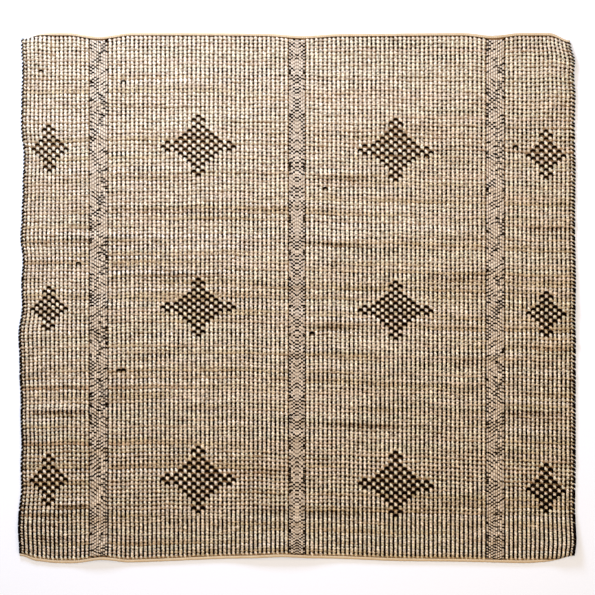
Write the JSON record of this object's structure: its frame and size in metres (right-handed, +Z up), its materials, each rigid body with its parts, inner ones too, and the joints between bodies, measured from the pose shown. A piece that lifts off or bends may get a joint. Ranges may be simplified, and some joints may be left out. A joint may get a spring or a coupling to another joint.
{
  "type": "flat-woven rug",
  "caption": "Nearly square flat-woven rug of jute and cotton cord with stepped stars and twill bands, bound along both ends.",
  "frame": {"origin": "on the floor, under the centre of the rug's bounding box", "axes": "+X along the wefts from selvedge to selvedge, +Y along the warp cords from one bound end to the other, +Z up from the floor"},
  "size_m": [1.84, 1.7541, 0.0303],
  "materials": {
    "woven_cloth": "flat weave of bleached cord, natural jute and black weft, matt and fibrous",
    "binding_tape": "unbleached cotton tape, folded over the end and sewn"
  },
  "bodies": {
    "root": {"woven_cloth": "woven_cloth", "top_binding": "binding_tape", "bottom_binding": "binding_tape"}
  },
  "joints": []
}
